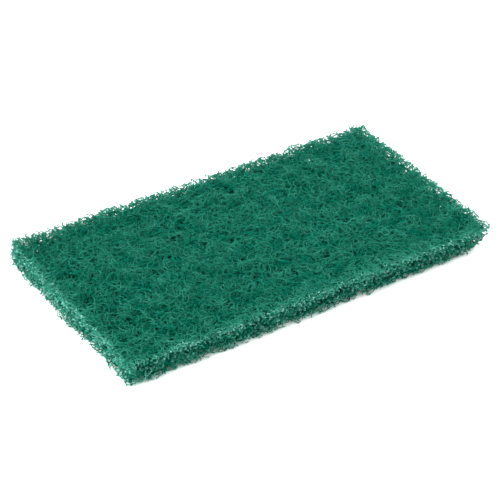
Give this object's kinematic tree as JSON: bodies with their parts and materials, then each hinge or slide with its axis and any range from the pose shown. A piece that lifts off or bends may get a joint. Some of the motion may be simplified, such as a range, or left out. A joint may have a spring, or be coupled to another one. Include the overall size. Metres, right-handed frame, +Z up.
{
  "type": "nylon scouring pad",
  "caption": "Rectangular scouring pad die-cut from a lofty green web of crimped nylon fibres, with a ragged open fringe round its cut edges, for scrubbing pans and surfaces by hand.",
  "frame": {"origin": "under the middle of the pad, on the surface that it lies on", "axes": "+X along the pad's length, +Y across its width, +Z up through its thickness"},
  "size_m": [0.15, 0.084, 0.0105],
  "materials": {
    "green_nylon_web": "dark green nylon fibre with a slightly glossy resin coat"
  },
  "bodies": {
    "root": {"nylon_web": "green_nylon_web"}
  },
  "joints": []
}
